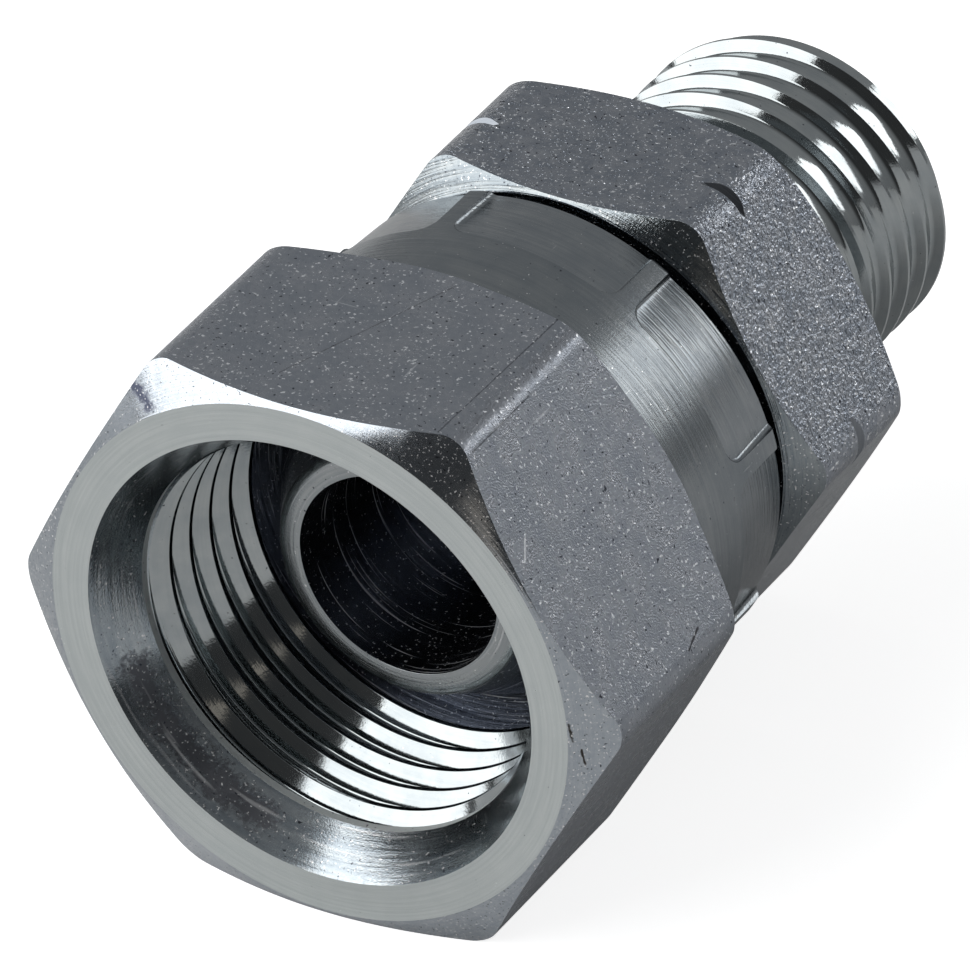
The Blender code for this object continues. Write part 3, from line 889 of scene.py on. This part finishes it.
def add_panel(name, azimuth, elevation, distance, size, radiance, color=(1, 1, 1)):
    """A soft light panel that looks at the object."""
    data = bpy.data.lights.new(name, "AREA")
    data.shape = "RECTANGLE"
    data.size, data.size_y = size
    data.energy = radiance * math.pi * size[0] * size[1]
    data.color = color
    panel = bpy.data.objects.new(name, data)
    bpy.context.scene.collection.objects.link(panel)
    away = direction(azimuth, elevation)
    panel.location = Vector((0.0, 0.0, AXIS_HEIGHT)) + away * distance
    panel.rotation_euler = away.to_track_quat("Z", "Y").to_euler()


ROOM_IN_FRONT = 0.05
ROOM_BEHIND = 0.33


def add_studio():
    """The photograph's light: a wide panel on the left, a dim warm one in front, and one behind on the right.

    The room is dim in front and lighter behind.
    """
    add_panel("left_panel", -56, 34, 0.9, (1.45, 1.1), 2.4)
    add_panel("front_panel", 15, 7, 1.2, (0.2, 0.3), 0.3, (1.0, 0.88, 0.75))
    add_panel("back_right_panel", 148, 22, 1.2, (0.36, 0.6), 2.3)
    world = bpy.data.worlds.new("dim_room")
    bpy.context.scene.world = world
    world.use_nodes = True
    tree = world.node_tree
    room = tree.nodes["Background"]
    coordinates = tree.nodes.new("ShaderNodeTexCoord")
    toward = tree.nodes.new("ShaderNodeVectorMath")
    toward.operation = "DOT_PRODUCT"
    toward.inputs[1].default_value = direction(-170, 40)
    tree.links.new(coordinates.outputs["Generated"], toward.inputs[0])
    brightness = spread(tree, toward.outputs["Value"], -0.2, 0.8, ROOM_IN_FRONT, ROOM_BEHIND)
    tree.links.new(brightness, room.inputs["Strength"])
    room.inputs["Color"].default_value = (0.96, 0.98, 1.0, 1.0)


FLOOR_SIZE = 8.0
FLOOR_TONE = (0.6, 0.6, 0.6, 1.0)
WHITE_SEEN = 0.82
WHITE_MIRRORED = 0.06


def add_floor():
    """A plain pale floor. It shows as white to the camera, a little in the metal, and keeps the shadow."""
    bpy.ops.mesh.primitive_plane_add(size=FLOOR_SIZE, location=(0, 0, 0))
    floor = bpy.context.object
    floor.name = "floor"
    material = bpy.data.materials.new("pale_floor")
    material.use_nodes = True
    tree = material.node_tree
    shader = tree.nodes["Principled BSDF"]
    shader.inputs["Base Color"].default_value = FLOOR_TONE
    shader.inputs["Roughness"].default_value = 1.0
    shader.inputs["Specular IOR Level"].default_value = 0.0
    rays = tree.nodes.new("ShaderNodeLightPath")
    seen = calculate(tree, "MULTIPLY", rays.outputs["Is Camera Ray"], WHITE_SEEN)
    seen = calculate(tree, "MULTIPLY_ADD", rays.outputs["Is Glossy Ray"], WHITE_MIRRORED, seen)
    shader.inputs["Emission Color"].default_value = (1.0, 1.0, 1.0, 1.0)
    tree.links.new(seen, shader.inputs["Emission Strength"])
    floor.data.materials.append(material)


add_camera()
add_floor()
add_studio()
bpy.context.scene.view_settings.view_transform = "Standard"

finishes = make_finishes()
nut = nut_blank()
nut_groove = thread_section(NUT_MINOR, 1, NUT_THREAD_DEPTH, NUT_CREST, NUT_ROOT_ROUND)
nut_cutter = thread_cutter("nut_thread", nut_groove, NUT_THREAD_START, NUT_TURNS)
cut(nut, cut_off_below(nut_cutter, LAND_END))
body = body_blank()
male_crest = MALE_MAJOR + CREST_LIFT
male_groove = thread_section(male_crest, -1, MALE_THREAD_DEPTH, MALE_CREST, MALE_ROOT_ROUND)
male_cutter = thread_cutter("male_thread", male_groove, MALE_THREAD_START, MALE_TURNS)
male_cutter.rotation_euler.z = CUTTER_TURN
cut(body, male_cutter)
nut_finishes = ("nut_flats", "face_ring", "nut_chamfer", "mouth_cone", "mouth_land", "thread", "skirt",
                "pressed_field", "bore")
body_finishes = ("body_flats", "body_chamfer", "corner_groove", "nose", "bore", "thread")
sort_faces(nut, zone_of_nut, {name: finishes[name] for name in nut_finishes})
sort_faces(body, zone_of_body, {name: finishes[name] for name in body_finishes})
for piece, body_name, node, slot_name in ((nut, "nut", "swivel_nut", "plated_nut"),
                                          (body, "body", "adapter_body", "plated_body")):
    lay_down(piece)
    shade(piece)
    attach(piece, body_name)
    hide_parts(node)
